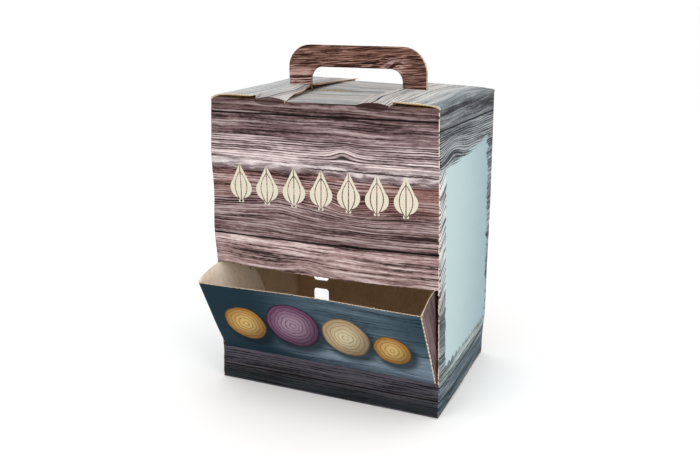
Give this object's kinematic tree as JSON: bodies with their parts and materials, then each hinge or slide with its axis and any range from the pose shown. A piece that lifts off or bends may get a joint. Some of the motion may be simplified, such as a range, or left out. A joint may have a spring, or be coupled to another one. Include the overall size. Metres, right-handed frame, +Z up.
{
  "type": "onion box",
  "caption": "Folded corrugated carry carton for onions, with a tilting front chute, locking lid flaps, a carry handle and back vents.",
  "frame": {"origin": "middle of the carton's base, on the surface that it stands on", "axes": "+Z up along the height, -Y out of the front with the chute, +X to the right seen from the front"},
  "size_m": [0.24, 0.211, 0.348],
  "materials": {
    "wood_print": "satin",
    "slate_print": "satin",
    "pale_print": "satin",
    "kraft_board": "matte"
  },
  "bodies": {
    "carton": {"carton_body": "wood_print"},
    "chute": {"chute": "slate_print"},
    "left_lid": {"left_lid_flap": "pale_print"},
    "right_lid": {"right_lid_flap": "pale_print"}
  },
  "joints": [
    {"name": "chute_tilt", "type": "hinge", "parent": "carton", "child": "chute", "pos_m": [0, -0.085, 0.036], "axis": [1, 0, 0], "range_deg": [-26, 39.5]},
    {"name": "left_lid_fold", "type": "hinge", "parent": "carton", "child": "left_lid", "pos_m": [-0.12, 0, 0.3], "axis": [0, -1, 0], "range_deg": [0, 175]},
    {"name": "right_lid_fold", "type": "hinge", "parent": "carton", "child": "right_lid", "pos_m": [0.12, 0, 0.3], "axis": [0, 1, 0], "range_deg": [0, 175]}
  ]
}
